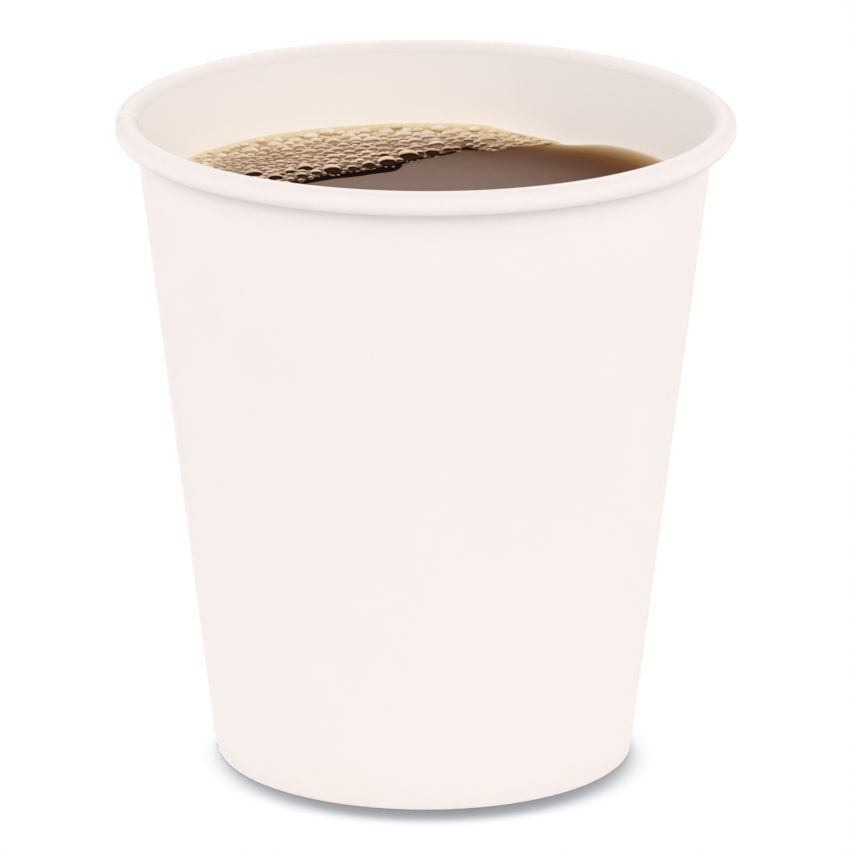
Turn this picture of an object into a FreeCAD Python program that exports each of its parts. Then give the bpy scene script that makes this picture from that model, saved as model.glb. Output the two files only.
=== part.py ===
import FreeCAD
import Part

import math
import os

# A single-wall paper coffee cup that holds ten fluid ounces, full of black coffee with a raft of
# froth at one side. Millimetres, +Z up. The origin is the centre of the ring the cup stands on.
# The front is -Y, and the side seam is on the left, at -X.
#
# The side wall is one fan-shaped blank of coated board, wound into a cone and sealed to itself
# along a lap seam. Its top edge is rolled outward into a hollow rim, and its bottom edge is folded
# inward and up over the skirt of a separate bottom disc.

# The cup's outside
rim_diameter = 90.0
base_diameter = 60.7
cup_height = 96.0

# The board and how it is formed
wall_sheet = 0.35
bottom_sheet = 0.30
roll_diameter = 3.5        # outside diameter of the rolled rim's tube
roll_tuck_angle = 100.0    # how far the rolled edge turns up again inside the tube
roll_gap = 0.05            # between the tucked edge and the doubled wall at the seam
hem_height = 6.0           # the inward fold, from the standing ring to its cut edge
recess_depth = 8.0         # from the standing ring up to the bottom disc
bottom_bend = 0.8          # inside radius where the disc turns down into its skirt
skirt_clearance = 0.05     # from the skirt's cut edge to the fold below it

# The lap seam, in degrees round the cup
seam_angle = 180.0         # where the inner flap's cut edge runs up the inside
lap_angle = 10.0           # the two flaps overlap on the back side of that edge
lap_ramp_angle = 6.0       # the outer flap settles back against the mandrel on the front side
lap_ramp_steps = 4

# The coffee
fill_below_rim = 13.6
meniscus_rise = 1.1
meniscus_run = 1.9

# The froth
froth_width = 20.7         # widest reach from the wall
froth_direction = 142.0    # where it is widest, in degrees round the cup
clear_pool_radius = 68.0   # the froth's edge is an arc of this radius
froth_thickness = 0.7
froth_climb = 1.6          # how far it stands up the wall above the coffee
froth_climb_run = 2.6
bubble_radius = 1.9        # the largest ones, in the row along the wall
bubble_height = 0.7
bubble_row_ratio = 0.85    # each row inward is smaller by this
bubble_gap = 1.2

UP = FreeCAD.Vector(0, 0, 1)
SIDEWAYS = FreeCAD.Vector(1, 0, 0)
ORIGIN = FreeCAD.Vector(0, 0, 0)


# Sizes that follow from the ones above. Sections are drawn in the XZ plane, where X is the
# distance from the cup's axis.
roll_radius = roll_diameter / 2
roll_centre_x = rim_diameter / 2 - roll_radius
roll_centre_z = cup_height - roll_radius
base_radius = base_diameter / 2


def wall_lean():
    """The wall's angle from vertical, for a line that is tangent to the roll and ends at the base."""
    run = roll_centre_x - base_radius
    rise = roll_centre_z
    reach = math.hypot(run, rise)
    return math.acos((roll_radius - wall_sheet) / reach) - math.atan2(rise, run)


lean = wall_lean()
lean_sin = math.sin(lean)
lean_cos = math.cos(lean)
# The roll's tube starts where the wall's inner face touches it
lip_x = roll_centre_x - roll_radius * lean_cos
lip_z = roll_centre_z + roll_radius * lean_sin
tuck_radius = roll_radius - (2 * wall_sheet + roll_gap) / (1 + lean_sin)
tuck_centre_z = roll_centre_z - roll_radius + tuck_radius
fill_level = cup_height - fill_below_rim


def face_x(z, offset=0.0):
    """Distance from the axis to the wall's inner face at height z, moved out by offset along its normal."""
    return lip_x + (z - lip_z) * math.tan(lean) + offset / lean_cos


def point(x, z):
    return FreeCAD.Vector(x, 0, z)


def on_circle(centre_x, centre_z, radius, degrees):
    turn = math.radians(degrees)
    return point(centre_x + radius * math.cos(turn), centre_z + radius * math.sin(turn))


def line(start, end):
    return Part.LineSegment(start, end).toShape()


def arc(centre_x, centre_z, radius, start_degrees, end_degrees):
    middle = (start_degrees + end_degrees) / 2
    return Part.Arc(
        on_circle(centre_x, centre_z, radius, start_degrees),
        on_circle(centre_x, centre_z, radius, middle),
        on_circle(centre_x, centre_z, radius, end_degrees),
    ).toShape()


def closed_wire(edges):
    return Part.Wire(Part.sortEdges(edges)[0])


def sheet_section(offset, thickness):
    """Section of the side wall's board, from the tucked edge of the roll down to the hem's cut edge.

    offset is how far the layer lies outside the wall's inner face, and thickness is one sheet, or
    two where the flaps overlap. The standing ring is pressed flat at z = 0 in every layer.
    """
    inner = offset
    outer = offset + thickness
    lean_degrees = math.degrees(lean)
    wall_side = 180.0 - lean_degrees      # from the roll's centre towards the wall
    underside = -90.0
    tucked = underside - roll_tuck_angle
    floor_z = wall_sheet                  # the fold's inside, where the skirt's edge stands

    hem_outer_face = -bottom_sheet - inner
    hem_inner_face = -bottom_sheet - outer
    outer_bend = outer - wall_sheet
    hem_bend = hem_inner_face + wall_sheet

    roll_face = on_circle(roll_centre_x, roll_centre_z, roll_radius - inner, wall_side)
    roll_back = on_circle(roll_centre_x, roll_centre_z, roll_radius - outer, wall_side)
    tuck_face = on_circle(roll_centre_x, tuck_centre_z, tuck_radius - inner, tucked)
    tuck_back = on_circle(roll_centre_x, tuck_centre_z, tuck_radius - outer, tucked)

    cavity_wall = point(face_x(floor_z, inner), floor_z)
    cavity_hem = point(face_x(floor_z, hem_outer_face), floor_z)
    bend_x = face_x(floor_z, outer_bend)
    hem_bend_x = face_x(floor_z, hem_bend)
    wall_foot = on_circle(bend_x, floor_z, wall_sheet, -lean_degrees)
    ring_outer = point(bend_x, floor_z - wall_sheet)
    ring_inner = point(hem_bend_x, floor_z - wall_sheet)
    hem_foot = on_circle(hem_bend_x, floor_z, wall_sheet, 180.0 - lean_degrees)
    hem_top_outer = point(face_x(hem_height, hem_outer_face), hem_height)
    hem_top_inner = hem_top_outer + FreeCAD.Vector(-lean_cos, 0, lean_sin) * thickness

    return closed_wire([
        line(cavity_wall, roll_face),
        arc(roll_centre_x, roll_centre_z, roll_radius - inner, wall_side, underside),
        arc(roll_centre_x, tuck_centre_z, tuck_radius - inner, underside, tucked),
        line(tuck_face, tuck_back),
        arc(roll_centre_x, tuck_centre_z, tuck_radius - outer, underside, tucked),
        arc(roll_centre_x, roll_centre_z, roll_radius - outer, wall_side, underside),
        line(roll_back, wall_foot),
        arc(bend_x, floor_z, wall_sheet, -lean_degrees, -90.0),
        line(ring_outer, ring_inner),
        arc(hem_bend_x, floor_z, wall_sheet, 270.0, 180.0 - lean_degrees),
        line(hem_foot, hem_top_inner),
        line(hem_top_inner, hem_top_outer),
        line(hem_top_outer, cavity_hem),
        line(cavity_hem, cavity_wall),
    ])


def turned(wire, start_degrees, sweep_degrees):
    """A section turned about the cup's axis, from start_degrees through sweep_degrees."""
    placed = wire.copy()
    placed.rotate(ORIGIN, UP, start_degrees)
    return Part.Face(placed).revolve(ORIGIN, UP, sweep_degrees)


def lap_ramp():
    """Where the outer flap, clear of the inner flap's edge, settles back by one sheet."""
    sections = []
    for step in range(lap_ramp_steps + 1):
        share = step / lap_ramp_steps
        settled = (1 - math.cos(math.pi * share)) / 2
        wire = sheet_section(wall_sheet * (1 - settled), wall_sheet)
        wire.rotate(ORIGIN, UP, seam_angle + lap_ramp_angle * share)
        sections.append(wire)
    return Part.makeLoft(sections, True, True)


def side_wall():
    single = turned(
        sheet_section(0.0, wall_sheet),
        seam_angle + lap_ramp_angle,
        360.0 - lap_ramp_angle - lap_angle,
    )
    lapped = turned(sheet_section(0.0, 2 * wall_sheet), seam_angle - lap_angle, lap_angle)
    return single.fuse([lapped, lap_ramp()])


def bottom_disc():
    """A flat disc whose edge is turned down into a skirt, which the hem holds against the wall."""
    top_z = recess_depth + bottom_sheet
    outer_bend = bottom_bend + bottom_sheet
    bend_z = top_z - outer_bend
    bend_x = face_x(bend_z, -outer_bend)
    lean_degrees = math.degrees(lean)
    foot_z = wall_sheet + skirt_clearance
    skirt_outer = point(face_x(foot_z), foot_z)
    skirt_inner = skirt_outer + FreeCAD.Vector(-lean_cos, 0, lean_sin) * bottom_sheet
    section = closed_wire([
        line(point(0, recess_depth), point(0, top_z)),
        line(point(0, top_z), point(bend_x, top_z)),
        arc(bend_x, bend_z, outer_bend, 90.0, -lean_degrees),
        line(on_circle(bend_x, bend_z, outer_bend, -lean_degrees), skirt_outer),
        line(skirt_outer, skirt_inner),
        line(skirt_inner, on_circle(bend_x, bend_z, bottom_bend, -lean_degrees)),
        arc(bend_x, bend_z, bottom_bend, 90.0, -lean_degrees),
        line(point(bend_x, recess_depth), point(0, recess_depth)),
    ])
    return turned(section, 0.0, 360.0)


def creep_arc(level, rise, run):
    """A liquid's edge that curves up the wall by rise, starting level at run from the wall."""
    top_z = level + rise
    top_x = face_x(top_z)
    flat_x = top_x - run
    radius = (run ** 2 + rise ** 2) / (2 * rise)
    end_degrees = math.degrees(math.asin(run / radius)) - 90.0
    edge = Part.Arc(
        point(flat_x, level),
        on_circle(flat_x, level + radius, radius, (end_degrees - 90.0) / 2),
        point(top_x, top_z),
    ).toShape()
    return edge, point(flat_x, level), point(top_x, top_z)


def coffee():
    """The drink, from the bottom disc to its level, with its edge drawn up the wall."""
    floor_z = recess_depth + bottom_sheet
    edge, flat_end, wall_end = creep_arc(fill_level, meniscus_rise, meniscus_run)
    section = closed_wire([
        line(point(0, fill_level), point(0, floor_z)),
        line(point(0, floor_z), point(face_x(floor_z), floor_z)),
        line(point(face_x(floor_z), floor_z), wall_end),
        edge,
        line(flat_end, point(0, fill_level)),
    ])
    return turned(section, 0.0, 360.0)


def clear_pool_centre():
    """Centre of the arc that bounds the open coffee, so that the froth is froth_width at its widest."""
    reach = clear_pool_radius - (face_x(fill_level) - froth_width)
    turn = math.radians(froth_direction + 180.0)
    return FreeCAD.Vector(reach * math.cos(turn), reach * math.sin(turn), 0)


def bubbles():
    """Centre and radius of each large bubble, in rows that follow the wall, well inside the froth."""
    pool = clear_pool_centre()
    radius = bubble_radius
    row_radius = face_x(fill_level) - froth_climb_run - radius
    half_step = 0.0
    found = []
    while row_radius > face_x(fill_level) - froth_width:
        count = int(2 * math.pi * row_radius / (2 * radius + bubble_gap))
        for index in range(count):
            turn = 2 * math.pi * (index + half_step) / count
            centre = FreeCAD.Vector(row_radius * math.cos(turn), row_radius * math.sin(turn), 0)
            if (centre - pool).Length > clear_pool_radius + radius:
                found.append((centre, radius))
        row_radius -= radius * (1 + bubble_row_ratio) + bubble_gap
        radius *= bubble_row_ratio
        half_step = 0.5 - half_step
    return found


def froth():
    """A crescent raft of froth on the coffee, against the wall, with its larger bubbles as domes."""
    top_z = fill_level + froth_thickness
    under, flat_end, wall_end = creep_arc(fill_level, meniscus_rise, meniscus_run)
    over, raft_end, crest = creep_arc(top_z, froth_climb - froth_thickness, froth_climb_run)
    raft_section = closed_wire([
        line(point(0, fill_level), flat_end),
        under,
        line(wall_end, crest),
        over,
        line(raft_end, point(0, top_z)),
        line(point(0, top_z), point(0, fill_level)),
    ])
    raft = turned(raft_section, 0.0, 360.0)
    pool = Part.makeCylinder(
        clear_pool_radius,
        froth_climb + meniscus_rise,
        clear_pool_centre() + UP * (fill_level - meniscus_rise / 2),
    )
    crescent = raft.cut(pool)
    domes = []
    for place, radius in bubbles():
        height = bubble_height * radius / bubble_radius
        dome_radius = (radius ** 2 + height ** 2) / (2 * height)
        ball = Part.makeSphere(dome_radius, place + UP * (top_z + height - dome_radius), SIDEWAYS)
        slab = Part.makeCylinder(dome_radius, dome_radius, place + UP * (top_z - froth_thickness / 2))
        domes.append(ball.common(slab))
    return crescent.fuse(domes)


def save(name, shape):
    solid = shape.removeSplitter()
    print(name, solid.ShapeType, "solids", len(solid.Solids), "valid", solid.isValid(),
          "volume", round(solid.Volume, 1))
    solid.exportStep(os.path.join("parts", name + ".step"))


def main():
    os.makedirs("parts", exist_ok=True)
    print("wall lean", round(math.degrees(lean), 3), "tuck radius", round(tuck_radius, 3))
    save("cup_wall", side_wall())
    save("cup_bottom", bottom_disc())
    save("coffee", coffee())
    save("froth", froth())


main()
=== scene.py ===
# %% [markdown]
# # A paper cup of black coffee
#
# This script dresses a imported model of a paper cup. The model gives four solids: the side wall, the
# bottom disc, the coffee and the froth. Here each one is made again as a finely divided mesh, so that
# board, cut edges, coffee and bubbles can each have a finish of their own.
#
# The first cell loads the model and keeps its box. Nothing made later may reach outside that box.

import math
import random

import bmesh
import bpy
from mathutils import Matrix, Vector


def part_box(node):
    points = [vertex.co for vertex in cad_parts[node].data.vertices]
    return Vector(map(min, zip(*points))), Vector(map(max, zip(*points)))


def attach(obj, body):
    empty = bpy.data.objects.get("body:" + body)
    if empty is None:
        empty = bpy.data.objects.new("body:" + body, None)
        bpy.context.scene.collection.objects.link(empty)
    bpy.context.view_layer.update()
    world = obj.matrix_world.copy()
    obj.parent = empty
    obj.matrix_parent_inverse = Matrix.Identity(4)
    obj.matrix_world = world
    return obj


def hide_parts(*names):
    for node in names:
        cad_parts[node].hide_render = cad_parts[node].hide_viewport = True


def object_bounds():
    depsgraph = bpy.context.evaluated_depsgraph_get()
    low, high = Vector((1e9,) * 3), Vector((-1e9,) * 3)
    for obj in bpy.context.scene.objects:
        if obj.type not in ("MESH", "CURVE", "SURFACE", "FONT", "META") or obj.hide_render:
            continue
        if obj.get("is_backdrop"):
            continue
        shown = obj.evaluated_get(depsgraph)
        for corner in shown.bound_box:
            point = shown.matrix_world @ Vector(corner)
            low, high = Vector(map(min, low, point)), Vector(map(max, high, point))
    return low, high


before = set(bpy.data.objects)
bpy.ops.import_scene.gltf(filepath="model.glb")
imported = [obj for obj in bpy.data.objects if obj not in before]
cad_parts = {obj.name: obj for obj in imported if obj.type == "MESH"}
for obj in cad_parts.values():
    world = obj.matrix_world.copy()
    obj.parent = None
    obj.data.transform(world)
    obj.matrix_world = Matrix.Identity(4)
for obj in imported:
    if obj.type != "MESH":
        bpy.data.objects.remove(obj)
cad_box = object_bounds()
print("pieces in the frame:", sorted(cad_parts))

# %% [markdown]
# ## Sizes
#
# The cup is a cone of one sheet of board. The boxes of the four solids give the rim, the height and
# the levels. The board's thickness and the small radii of its folds can't be read from a box, so they
# are named here. Lengths are in metres, as everywhere in Blender. The rim is drawn a trace smaller
# than the box, so that no vertex can reach outside it.

# %% Name the sizes
MM = 0.001
WALL_SHEET = 0.35 * MM
BOTTOM_SHEET = 0.30 * MM
ROLL_RADIUS = 1.75 * MM
ROLL_TUCK = 100.0
ROLL_GAP = 0.05 * MM
HEM_HEIGHT = 6.0 * MM
BASE_RADIUS = 30.35 * MM
SEAM_ANGLE = 178.4
LAP_ANGLE = 10.0
SETTLE_ANGLE = 6.0
BOTTOM_BEND = 0.8 * MM

wall_low, wall_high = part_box("cup_wall")
bottom_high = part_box("cup_bottom")[1]
coffee_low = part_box("coffee")[0]
froth_low, froth_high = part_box("froth")
BOX_CLEARANCE = 0.002 * MM
RIM_RADIUS = (wall_high.x - wall_low.x) / 2 - BOX_CLEARANCE
HEIGHT = wall_high.z
print("rim radius, height in mm:", round(RIM_RADIUS / MM, 2), round(HEIGHT / MM, 2))

# %% [markdown]
# The wall's inner face is a straight line in section. It touches the hollow roll at the top and ends
# at the base, so its lean follows from those two. `face_x` gives the inner face's distance from the
# cup's axis at any height, and every piece inside the cup is placed with it.

# %% Work out the wall's line
ROLL_X = RIM_RADIUS - ROLL_RADIUS
ROLL_Z = HEIGHT - ROLL_RADIUS
run = ROLL_X - BASE_RADIUS
LEAN = math.acos((ROLL_RADIUS - WALL_SHEET) / math.hypot(run, ROLL_Z)) - math.atan2(ROLL_Z, run)
LIP_X = ROLL_X - ROLL_RADIUS * math.cos(LEAN)
LIP_Z = ROLL_Z + ROLL_RADIUS * math.sin(LEAN)
TUCK_RADIUS = ROLL_RADIUS - (2 * WALL_SHEET + ROLL_GAP) / (1 + math.sin(LEAN))


def face_x(z, offset=0.0):
    """Distance from the axis to the wall's inner face at height z, or to a layer offset outward."""
    return LIP_X + (z - LIP_Z) * math.tan(LEAN) + offset / math.cos(LEAN)


print("the wall leans", round(math.degrees(LEAN), 2), "degrees")

# %% [markdown]
# ## Helpers for meshes
#
# The bottom disc and the coffee start as a line of points in an upright plane through the cup's axis
# and are spun about it. The side wall and the froth's raft are grids that are laid into place. All of
# them end as objects that sit at the origin. These helpers do the parts that repeat.

# %% Helpers for meshes
SPIN_MERGE = 0.001 * MM


def straight(start, end, steps=1):
    """Points along a line, without its last one."""
    start, end = Vector(start), Vector(end)
    return [start.lerp(end, step / steps) for step in range(steps)]


def arc(centre_x, centre_z, radius, start, end, steps):
    """Points along an arc given in degrees, without its last one."""
    turns = [math.radians(start + (end - start) * step / steps) for step in range(steps)]
    return [Vector((centre_x + radius * math.cos(t), centre_z + radius * math.sin(t))) for t in turns]


def on_arc(centre_x, centre_z, radius, degrees):
    """The one point of an arc in that direction."""
    return arc(centre_x, centre_z, radius, degrees, degrees, 1)[0]


def smooth_step(value, low, high):
    """0 up to low and 1 from high on, with a soft change between."""
    share = min(max((value - low) / (high - low), 0.0), 1.0)
    return share * share * (3 - 2 * share)


def mix(first, second, share):
    """The first value at a share of 0, the second at 1."""
    return first + (second - first) * share


def spun_solid(outline, steps):
    """A closed solid of revolution from an open line whose two ends lie on the axis."""
    mesh = bmesh.new()
    verts = [mesh.verts.new((point.x, 0.0, point.y)) for point in outline]
    edges = [mesh.edges.new(pair) for pair in zip(verts, verts[1:])]
    bmesh.ops.spin(mesh, geom=verts + edges, cent=(0, 0, 0), axis=(0, 0, 1),
                   angle=math.tau, steps=steps, use_merge=True)
    bmesh.ops.remove_doubles(mesh, verts=mesh.verts[:], dist=SPIN_MERGE)
    bmesh.ops.recalc_face_normals(mesh, faces=mesh.faces[:])
    return mesh


def to_data(mesh, name):
    """A bmesh's mesh data. The bmesh itself is given up."""
    data = bpy.data.meshes.new(name)
    mesh.to_mesh(data)
    mesh.free()
    return data


def to_object(data, name):
    """An object in the scene that shows the data."""
    made = bpy.data.objects.new(name, data)
    bpy.context.scene.collection.objects.link(made)
    return made


def finish_mesh(mesh, name, node, materials, crease=40.0):
    """Turns a bmesh into a piece that stands for a CAD node, smooth except at real edges."""
    for edge in mesh.edges:
        sharp = len(edge.link_faces) == 2 and edge.calc_face_angle(0.0) > math.radians(crease)
        edge.smooth = not sharp
    for face in mesh.faces:
        face.smooth = True
    data = to_data(mesh, name)
    for material in materials:
        data.materials.append(material)
    piece = to_object(data, name)
    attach(piece, "root")
    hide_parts(node)
    print(name, "has", len(data.polygons), "faces")
    return piece


# %% [markdown]
# ## Helpers for materials
#
# A finish is a short graph of nodes. `add` makes one node, sets its options and fills its inputs.
# Colours are written as a paint program shows them, from 0 to 255, and `tint` turns them into the
# linear values that light needs.

# %% Helpers for materials
def tint(red, green, blue):
    """A colour in linear values, from the three values that a paint program shows."""
    def linear(value):
        value /= 255
        return value / 12.92 if value <= 0.04045 else ((value + 0.055) / 1.055) ** 2.4
    return (linear(red), linear(green), linear(blue), 1.0)


def fill(tree, node, sockets):
    """Links each input that is given a socket, and sets each one that is given a value."""
    for socket, value in sockets.items():
        if isinstance(value, bpy.types.NodeSocket):
            tree.links.new(value, node.inputs[socket])
        else:
            node.inputs[socket].default_value = value


def add(tree, kind, sockets={}, **options):
    """A new shader node, with its options set and its inputs filled."""
    node = tree.nodes.new("ShaderNode" + kind)
    for option, value in options.items():
        setattr(node, option, value)
    fill(tree, node, sockets)
    return node


def sums(tree, operation, first, second=0.0, third=0.0, clamp=False):
    """The result of one Math node."""
    node = add(tree, "Math", {0: first, 1: second, 2: third}, operation=operation, use_clamp=clamp)
    return node.outputs[0]


def ramp(tree, value, stops):
    """A colour for each value, between stops of (place, colour)."""
    node = add(tree, "ValToRGB", {0: value})
    elements = node.color_ramp.elements
    while len(elements) < len(stops):
        elements.new(0.5)
    for element, (place, shade) in zip(elements, stops):
        element.position = place
        element.color = shade
    return node.outputs["Color"]


def blend(tree, share, first, second):
    """The first colour at a share of 0, the second at 1."""
    return add(tree, "Mix", {0: share, 6: first, 7: second}, data_type="RGBA").outputs[2]


def between(tree, value, low, high, soft=False):
    """0 at the low value and 1 at the high one, along a straight line or a soft curve."""
    curve = "SMOOTHSTEP" if soft else "LINEAR"
    ends = {"Value": value, "From Min": low, "From Max": high}
    return add(tree, "MapRange", ends, interpolation_type=curve).outputs["Result"]


def new_material(name):
    """A material with a Principled surface, its node tree and its two end nodes."""
    material = bpy.data.materials.new(name)
    material.use_nodes = True
    tree = material.node_tree
    tree.nodes.clear()
    surface = add(tree, "BsdfPrincipled")
    output = add(tree, "OutputMaterial", {"Surface": surface.outputs["BSDF"]})
    return material, tree, surface, output


# %% [markdown]
# ## Board
#
# Cup board is pressed wood fibre. Close up it is never one flat white: its tone drifts a little over
# a few centimetres, and short fibres lie mostly along the sheet. The coated side, the outer side and
# the cut edges all show this, so it is one node group with named inputs, placed in each finish with
# values of its own. It reads the sheet's own flat map in millimetres, so the fibres follow the board
# over the rolled rim.

# %% Make the board's node group
def make_board_group():
    group = bpy.data.node_groups.new("board_fibre", "ShaderNodeTree")
    for way, name, kind in (
        ("INPUT", "Map", "Vector"), ("INPUT", "Colour", "Color"), ("INPUT", "Drift colour", "Color"),
        ("INPUT", "Drift", "Float"), ("INPUT", "Fibre", "Float"),
        ("OUTPUT", "Colour", "Color"), ("OUTPUT", "Height", "Float"), ("OUTPUT", "Polish", "Float"),
    ):
        group.interface.new_socket(name, in_out=way, socket_type="NodeSocket" + kind)
    given = group.nodes.new("NodeGroupInput")
    result = group.nodes.new("NodeGroupOutput")
    drift = add(group, "TexNoise", {"Vector": given.outputs["Map"], "Scale": 0.035, "Detail": 2.0})
    along = add(group, "Mapping", {"Vector": given.outputs["Map"], "Scale": (0.9, 5.0, 1.0)})
    fibre = add(group, "TexNoise", {"Vector": along.outputs[0], "Scale": 0.8, "Detail": 5.0,
                                    "Roughness": 0.65, "Distortion": 0.6})
    grain = add(group, "TexNoise", {"Vector": given.outputs["Map"], "Scale": 5.0, "Detail": 3.0})
    drift_share = sums(group, "MULTIPLY", drift.outputs["Fac"], given.outputs["Drift"])
    base = blend(group, drift_share, given.outputs["Colour"], given.outputs["Drift colour"])
    fine = sums(group, "MULTIPLY_ADD", fibre.outputs["Fac"], 0.7, 0.15)
    centred = sums(group, "SUBTRACT", fine, 0.5)
    lift = sums(group, "MULTIPLY_ADD", centred, given.outputs["Fibre"], 1.0)
    shaded = add(group, "VectorMath", {0: base, "Scale": lift}, operation="SCALE")
    height = sums(group, "MULTIPLY_ADD", grain.outputs["Fac"], 0.4, fibre.outputs["Fac"])
    fill(group, result, {"Colour": shaded.outputs[0], "Height": height, "Polish": centred})
    return group


board_group = make_board_group()
print("made the node group", board_group.name)

# %% [markdown]
# Five finishes use the group: the outer side of the board, the side with a thin clear coating that
# the drink touches, the same side where it is rolled tight over the rim, a shade duller and painted a
# trace darker and pinker as shade, the bottom disc, and the raw cut edges, which are creamier because
# no coating hides the fibre. They differ in colour, in how strongly the fibres show and in gloss. Just
# above the froth the wall is painted a trace darker, as shade. That depends on the place in the cup,
# so Object coordinates give it.

# %% Make the board's finishes
BUMP_DISTANCE = 0.02 * MM
PAINTED_SHADE_RADIUS = 41.0 * MM
PAINTED_SHADE_WAY = (-0.79 / PAINTED_SHADE_RADIUS, 0.61 / PAINTED_SHADE_RADIUS, 0.0)
PAINTED_SHADE_TOP = froth_high.z + 9.0 * MM
PAINTED_SHADE_DEPTH = 0.035


def painted_shade_share(tree, depth):
    """What share of its tone the board keeps under the painted shade: less just above the froth, all of it
    further up.
    """
    place = add(tree, "TexCoord").outputs["Object"]
    toward = add(tree, "VectorMath", {0: place, 1: PAINTED_SHADE_WAY}, operation="DOT_PRODUCT").outputs["Value"]
    side = between(tree, toward, 0.1, 0.6)
    height = add(tree, "SeparateXYZ", {0: place}).outputs["Z"]
    low = between(tree, height, PAINTED_SHADE_TOP, froth_high.z, soft=True)
    return sums(tree, "MULTIPLY_ADD", sums(tree, "MULTIPLY", side, low), -depth, 1.0)


def board_finish(name, colour, drift_colour, fibre, rough_level, bump, painted_shade=0.0):
    """One finish of the board. Its colour drifts towards a second one."""
    material, tree, surface, _ = new_material(name)
    place = add(tree, "UVMap", uv_map="sheet")
    board = tree.nodes.new("ShaderNodeGroup")
    board.node_tree = board_group
    fill(tree, board, {"Map": place.outputs["UV"], "Colour": colour, "Drift colour": drift_colour,
                       "Drift": 1.0, "Fibre": fibre})
    relief = add(tree, "Bump", {"Height": board.outputs["Height"], "Strength": bump,
                                "Distance": BUMP_DISTANCE})
    rough = sums(tree, "MULTIPLY_ADD", board.outputs["Polish"], 0.25, rough_level)
    shade = board.outputs["Colour"]
    # painted shade: the board is darkened just above the froth
    if painted_shade:
        unshaded = painted_shade_share(tree, painted_shade)
        shade = add(tree, "VectorMath", {0: shade, "Scale": unshaded}, operation="SCALE").outputs[0]
    fill(tree, surface, {"Base Color": shade, "Roughness": rough, "Specular IOR Level": 0.25,
                         "Normal": relief.outputs["Normal"]})
    return material


WARM = tint(250, 240, 237)
COOL = tint(248, 243, 238)
outside_board = board_finish("board_outside", WARM, COOL, 0.03, 0.62, 0.35)
coated_board = board_finish("board_coated", tint(253, 248, 246), tint(251, 246, 242), 0.05, 0.4, 0.25,
                            painted_shade=PAINTED_SHADE_DEPTH)
# painted shade: the rolled board is a trace darker and pinker than the coated side it is made of
shaded_rolled_board = board_finish("board_rolled_shaded", tint(251, 242, 239), tint(249, 241, 236), 0.05, 0.45, 0.25)
bottom_board = board_finish("board_bottom", tint(245, 239, 234), COOL, 0.05, 0.6, 0.4)
cut_edge = board_finish("board_cut_edge", tint(255, 249, 240), tint(252, 242, 228), 0.08, 0.8, 0.6)
print("made the board's finishes")

# %% [markdown]
# ## The side wall
#
# One sheet makes the whole wall. In section it runs up the cone, over the rim, round the hollow
# roll and up inside it to a cut edge. At the foot it folds inward and up over the bottom disc's
# skirt. `sheet_section` gives that outline for a layer that lies `offset` outside the wall's inner
# face, with the side of the board that each stretch belongs to. The roll gets the most steps, because
# its outline shows against the background.

# %% Draw the sheet's section
COATED, OUTSIDE, CUT, ROLLED = 0, 1, 2, 3
RIBBED_RUN = 10
WALL_STEPS, FOLD_STEPS, HEM_STEPS = 10, 5, 8
ROLL_STEPS, UNDER_ROLL_STEPS, TUCK_STEPS = 26, 16, 8


def sheet_section(offset):
    """Points of one layer's outline, the side that each belongs to, and whether it carries ribs."""
    inner, outer = offset, offset + WALL_SHEET
    lean = math.degrees(LEAN)
    wall_side, underside, tucked = 180.0 - lean, -90.0, -90.0 - ROLL_TUCK
    tuck_z = ROLL_Z - ROLL_RADIUS + TUCK_RADIUS
    floor_z = WALL_SHEET
    foot_x = face_x(floor_z, offset)
    fold_x = face_x(floor_z, -BOTTOM_SHEET - offset)
    bend_back = on_arc(fold_x, floor_z, WALL_SHEET, 180.0 - lean)
    hem_face = -BOTTOM_SHEET - inner
    hem_top = Vector((face_x(HEM_HEIGHT, hem_face), HEM_HEIGHT))
    hem_edge = hem_top + Vector((-math.cos(LEAN), math.sin(LEAN))) * WALL_SHEET
    cavity_hem = Vector((face_x(floor_z, hem_face), floor_z))
    cavity_wall = Vector((face_x(floor_z, inner), floor_z))
    runs = [
        (COATED, straight(cavity_wall, on_arc(ROLL_X, ROLL_Z, ROLL_RADIUS - inner, wall_side),
                          WALL_STEPS)),
        (ROLLED, arc(ROLL_X, ROLL_Z, ROLL_RADIUS - inner, wall_side, underside, ROLL_STEPS)),
        (ROLLED, arc(ROLL_X, tuck_z, TUCK_RADIUS - inner, underside, tucked, TUCK_STEPS)),
        (CUT, [on_arc(ROLL_X, tuck_z, TUCK_RADIUS - inner, tucked)]),
        (OUTSIDE, arc(ROLL_X, tuck_z, TUCK_RADIUS - outer, tucked, underside, TUCK_STEPS)),
        (OUTSIDE, arc(ROLL_X, ROLL_Z, ROLL_RADIUS - outer, underside, wall_side, UNDER_ROLL_STEPS)),
        (OUTSIDE, straight(on_arc(ROLL_X, ROLL_Z, ROLL_RADIUS - outer, wall_side),
                           on_arc(foot_x, floor_z, WALL_SHEET, -lean), WALL_STEPS)),
        (OUTSIDE, arc(foot_x, floor_z, WALL_SHEET, -lean, -90.0, FOLD_STEPS)),
        (OUTSIDE, [Vector((foot_x, floor_z - WALL_SHEET))]),
        (OUTSIDE, arc(fold_x, floor_z, WALL_SHEET, 270.0, 180.0 - lean, FOLD_STEPS)),
        (OUTSIDE, straight(bend_back, hem_edge, HEM_STEPS)),
        (CUT, [hem_edge]),
        (COATED, straight(hem_top, cavity_hem, 2)),
        (COATED, [cavity_hem]),
    ]
    points = [point for _, stretch in runs for point in stretch]
    sides = [side for side, stretch in runs for _ in stretch]
    ribbed = [stretch is runs[RIBBED_RUN][1] for _, stretch in runs for _ in stretch]
    return points, sides, ribbed


section, sides, ribbed = sheet_section(0.0)
layer_out, _, _ = sheet_section(WALL_SHEET)
print("the section has", len(section), "points")

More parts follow.
